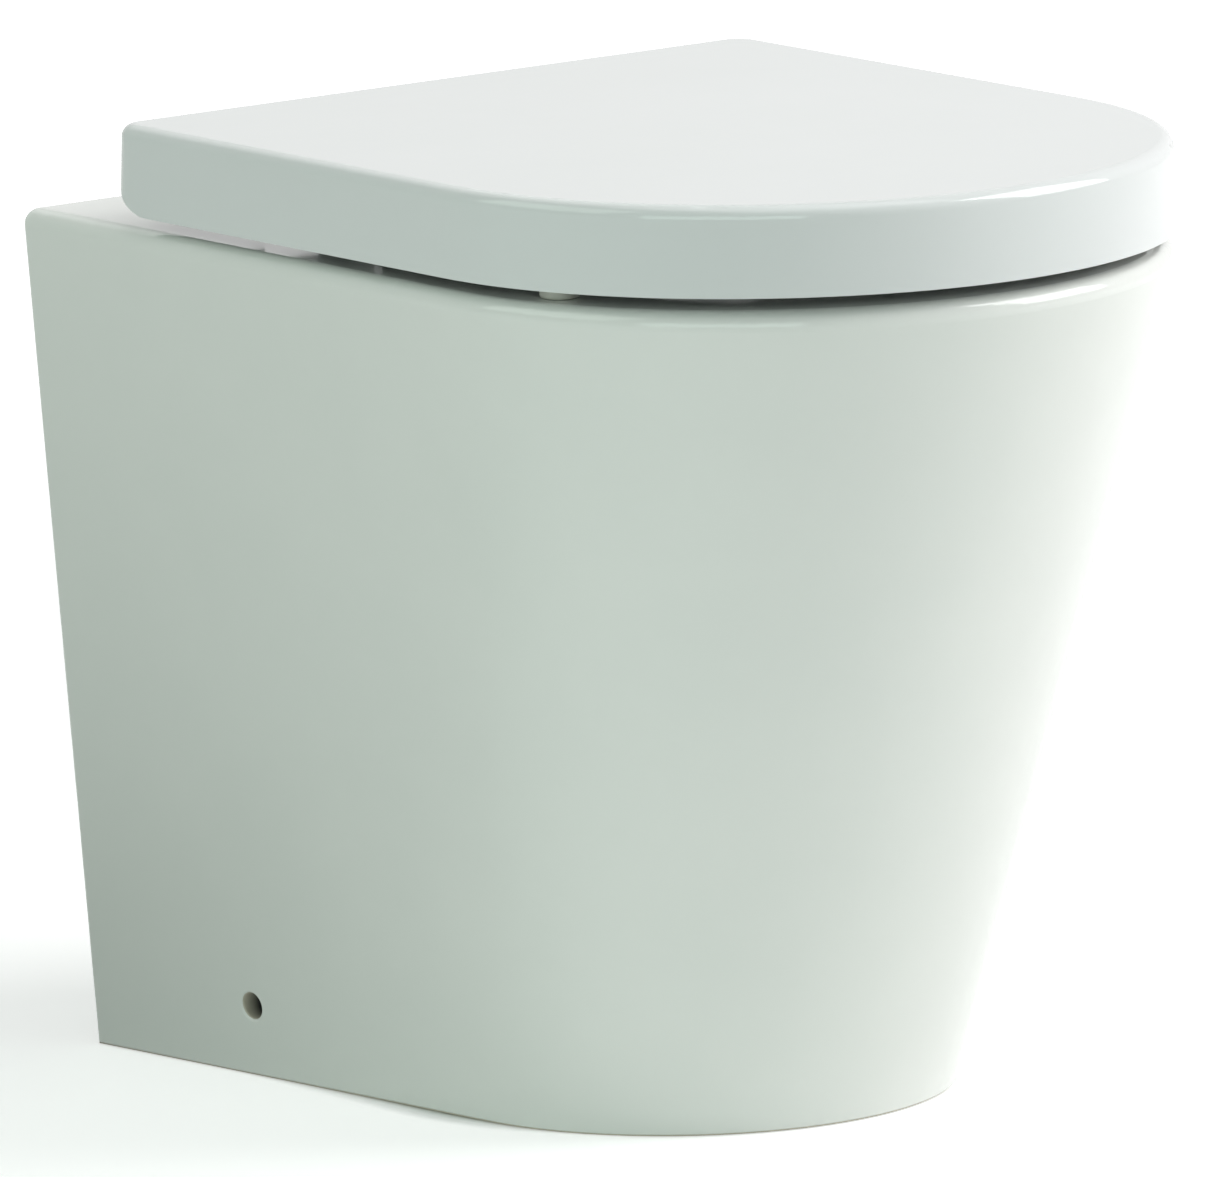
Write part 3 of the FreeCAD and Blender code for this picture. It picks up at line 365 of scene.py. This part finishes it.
lampRig = {"target": (0.0, -0.25, 0.25), "distance": 3.0}
lamps = {
    "keyRight": {"azimuth": 55, "elevation": 34, "size": (1.8, 2.2), "power": 77, "colour": "#ffffff"},
    "panelLeft": {"azimuth": -108, "elevation": 38, "size": (2.2, 1.6), "power": 18, "colour": "#eefff2"},
    "panelFront": {"azimuth": -50, "elevation": 14, "size": (2.4, 1.2), "power": 19, "colour": "#e9fff6"},
    "overhead": {"azimuth": 0, "elevation": 84, "size": (2.4, 2.4), "power": 22, "colour": "#ffffff"},
    "backFill": {"azimuth": 170, "elevation": 50, "size": (2.0, 2.0), "power": 7, "colour": "#ffffff"},
}


def makeLamp(name, lamp):
    data = bpy.data.lights.new(name, "AREA")
    data.shape = "RECTANGLE"
    data.size, data.size_y = lamp["size"]
    data.energy = lamp["power"]
    data.color = srgb(lamp["colour"])[:3]
    light = bpy.data.objects.new(name, data)
    bpy.context.scene.collection.objects.link(light)
    back = aim(lamp["azimuth"], lamp["elevation"])
    light.location = Vector(lampRig["target"]) + back * lampRig["distance"]
    light.rotation_mode = "QUATERNION"
    light.rotation_quaternion = (-back).to_track_quat("-Z", "Y")


for name, lamp in lamps.items():
    makeLamp(name, lamp)
print("lamps:", len(lamps))


# Floor and surroundings, pale to the eye and in reflections

stage = {
    "half": 20.0, "drop": 0.0003, "floor": "#e6e7e6",
    "dim": "#4a4c48", "dimCentre": (-0.36, 0.14, 0.0), "dimFade": (0.14, 0.50),
    "lift": 0.5, "liftFade": (0.7, 2.6),
    "noseCentre": -0.216, "footFade": (0.125, 0.140), "backFade": (-0.24, 0.02),
    "bounce": 0.11, "bounceTint": "#f2fff5", "bounceFade": (0.9, 2.0),
    "sky": "#dfe3e1", "skyStrength": 0.05, "backdrop": "#ffffff",
}


def addSeen(tree):    # 1 where the camera, a reflection or a see-through piece looks
    path = addNode(tree, "LightPath")
    first = addNode(tree, "Math", {"operation": "MAXIMUM"},
                    links={0: path.outputs["Is Camera Ray"], 1: path.outputs["Is Glossy Ray"]})
    return addNode(tree, "Math", {"operation": "MAXIMUM"},
                   links={0: first.outputs[0], 1: path.outputs["Is Transmission Ray"]}).outputs[0]


def addMatt(tree, place, seen):
    # a darker patch behind on the left gives less light back to that side, and looks as pale as the rest
    away = addNode(tree, "VectorMath", {"operation": "DISTANCE"}, {1: stage["dimCentre"]}, {0: place})
    past = addNode(tree, "MapRange", {"interpolation_type": "SMOOTHSTEP"},
                   {"From Min": stage["dimFade"][0], "From Max": stage["dimFade"][1]},
                   {"Value": away.outputs["Value"]})
    pale = addNode(tree, "Math", {"operation": "MAXIMUM"}, links={0: seen, 1: past.outputs["Result"]})
    paint = addNode(tree, "MixRGB", values={"Color1": srgb(stage["dim"]), "Color2": srgb(stage["floor"])},
                    links={"Fac": pale.outputs[0]})
    return addNode(tree, "BsdfDiffuse", links={"Color": paint.outputs["Color"]}).outputs[0]


def addOutsideFoot(tree, place):
    # 0 inside the hollow foot, which is a straight run with a half-round nose and an open back
    axes = addNode(tree, "SeparateXYZ", links={0: place})
    ahead = addNode(tree, "Math", {"operation": "SUBTRACT"}, {1: stage["noseCentre"]}, {0: axes.outputs["Y"]})
    nose = addNode(tree, "Math", {"operation": "MINIMUM"}, {1: 0.0}, {0: ahead.outputs[0]})
    spot = addNode(tree, "CombineXYZ", links={"X": axes.outputs["X"], "Y": nose.outputs[0]})
    away = addNode(tree, "VectorMath", {"operation": "LENGTH"}, links={0: spot.outputs[0]})
    outside = addNode(tree, "MapRange",
                      values={"From Min": stage["footFade"][0], "From Max": stage["footFade"][1]},
                      links={"Value": away.outputs["Value"]})
    behind = addNode(tree, "MapRange", {"interpolation_type": "SMOOTHSTEP"},
                     {"From Min": stage["backFade"][0], "From Max": stage["backFade"][1]},
                     {"Value": axes.outputs["Y"]})
    return addNode(tree, "Math", {"operation": "MAXIMUM"},
                   links={0: outside.outputs["Result"], 1: behind.outputs["Result"]}).outputs[0]


def addGlow(tree, place, seen):
    reach = addNode(tree, "VectorMath", {"operation": "LENGTH"}, links={0: place})
    # what is seen turns white further out, where the lamps fall off
    lift = addNode(tree, "MapRange", {"interpolation_type": "SMOOTHSTEP"},
                   {"From Min": stage["liftFade"][0], "From Max": stage["liftFade"][1],
                    "To Min": stage["lift"]},
                   {"Value": reach.outputs["Value"]})
    shown = addNode(tree, "Math", {"operation": "MULTIPLY"},
                    links={0: lift.outputs["Result"], 1: addOutsideFoot(tree, place)})
    bright = addNode(tree, "Emission", links={"Strength": shown.outputs[0]})
    # low light given back close to the object
    bounce = addNode(tree, "MapRange", {"interpolation_type": "SMOOTHSTEP"},
                     {"From Min": stage["bounceFade"][0], "From Max": stage["bounceFade"][1],
                      "To Min": stage["bounce"], "To Max": 0.0},
                     {"Value": reach.outputs["Value"]})
    low = addNode(tree, "Emission", values={"Color": srgb(stage["bounceTint"])},
                  links={"Strength": bounce.outputs["Result"]})
    return addNode(tree, "MixShader", links={0: seen, 1: low.outputs[0], 2: bright.outputs[0]}).outputs[0]


def makeFloorPaint():
    material, tree, place = startMaterial("paintedFloor")
    seen = addSeen(tree)
    both = addNode(tree, "AddShader",
                   links={0: addMatt(tree, place, seen), 1: addGlow(tree, place, seen)})
    addNode(tree, "OutputMaterial", links={"Surface": both.outputs[0]})
    return material


def makeFloor():
    shape = bmesh.new()
    bmesh.ops.create_grid(shape, x_segments=1, y_segments=1, size=stage["half"])
    bmesh.ops.translate(shape, verts=shape.verts, vec=(0, 0, -stage["drop"]))
    mesh = bpy.data.meshes.new("floor")
    shape.to_mesh(mesh)
    shape.free()
    mesh.materials.append(makeFloorPaint())
    floor = bpy.data.objects.new("floor", mesh)
    bpy.context.scene.collection.objects.link(floor)


def makeWorld():
    world = bpy.data.worlds.new("studio")
    bpy.context.scene.world = world
    world.use_nodes = True
    tree = world.node_tree
    tree.nodes.clear()
    soft = addNode(tree, "Background", values={"Color": srgb(stage["sky"]), "Strength": stage["skyStrength"]})
    white = addNode(tree, "Background", values={"Color": srgb(stage["backdrop"])})
    mix = addNode(tree, "MixShader", links={0: addSeen(tree), 1: soft.outputs[0], 2: white.outputs[0]})
    addNode(tree, "OutputWorld", links={"Surface": mix.outputs[0]})


makeFloor()
makeWorld()
bpy.context.scene.view_settings.view_transform = "Standard"
print("floor and surroundings made")
